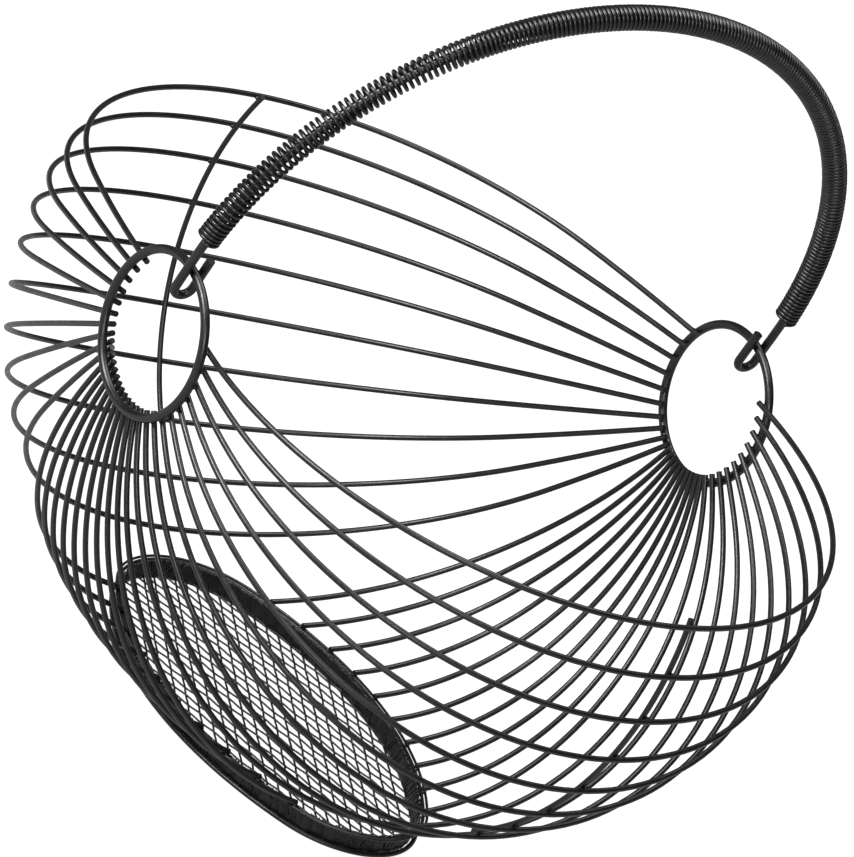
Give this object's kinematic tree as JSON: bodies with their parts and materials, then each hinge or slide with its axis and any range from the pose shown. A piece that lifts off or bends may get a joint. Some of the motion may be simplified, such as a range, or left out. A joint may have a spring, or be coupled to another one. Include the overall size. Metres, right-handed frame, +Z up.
{
  "type": "egg collection basket",
  "caption": "Open oval wire basket for gathering eggs: curved wall wires hang from two side rings above a small mesh base, with a swinging bail handle gripped by a wound wire coil.",
  "frame": {"origin": "middle of the bounding box, on the surface that the base stands on", "axes": "+X from the left ring to the right ring along the ring axis, +Y across the basket towards its far, wider side, +Z up"},
  "size_m": [0.3134, 0.3956, 0.3712],
  "materials": {
    "frame_wire": "satin",
    "mesh_wire": "satin",
    "grip_wire": "gloss"
  },
  "bodies": {
    "basket": {"ring_left": "frame_wire", "ring_right": "frame_wire", "brace_far": "frame_wire", "brace_near": "frame_wire", "base_hoop_outer": "frame_wire", "base_hoop_inner": "frame_wire", "base_hoop_foot": "frame_wire", "mesh_pan_rim": "mesh_wire", "base_mesh": "mesh_wire", "far_wire_01": "frame_wire", "far_wire_02": "frame_wire", "far_wire_03": "frame_wire", "far_wire_04": "frame_wire", "far_wire_05": "frame_wire", "far_wire_06": "frame_wire", "far_wire_07": "frame_wire", "far_wire_08": "frame_wire", "far_wire_09": "frame_wire", "far_wire_10": "frame_wire", "near_wire_01": "frame_wire", "near_wire_02": "frame_wire", "near_wire_03": "frame_wire", "near_wire_04": "frame_wire", "near_wire_05": "frame_wire", "near_wire_06": "frame_wire", "near_wire_07": "frame_wire", "near_wire_08": "frame_wire", "near_wire_09": "frame_wire", "near_wire_10": "frame_wire", "left_base_wire_01": "frame_wire", "left_base_wire_02": "frame_wire", "left_base_wire_03": "frame_wire", "left_base_wire_04": "frame_wire", "left_base_wire_05": "frame_wire", "left_base_wire_06": "frame_wire", "left_base_wire_07": "frame_wire", "left_base_wire_08": "frame_wire", "left_base_wire_09": "frame_wire", "left_base_wire_10": "frame_wire", "right_base_wire_01": "frame_wire", "right_base_wire_02": "frame_wire", "right_base_wire_03": "frame_wire", "right_base_wire_04": "frame_wire", "right_base_wire_05": "frame_wire", "right_base_wire_06": "frame_wire", "right_base_wire_07": "frame_wire", "right_base_wire_08": "frame_wire", "right_base_wire_09": "frame_wire", "right_base_wire_10": "frame_wire"},
    "handle": {"handle_rod": "frame_wire", "grip_coil": "grip_wire"}
  },
  "joints": [
    {"name": "handle_swing", "type": "hinge", "parent": "basket", "child": "handle", "pos_m": [0, -0.007, 0.1768], "axis": [1, 0, 0], "range_deg": [-60, 37]}
  ]
}
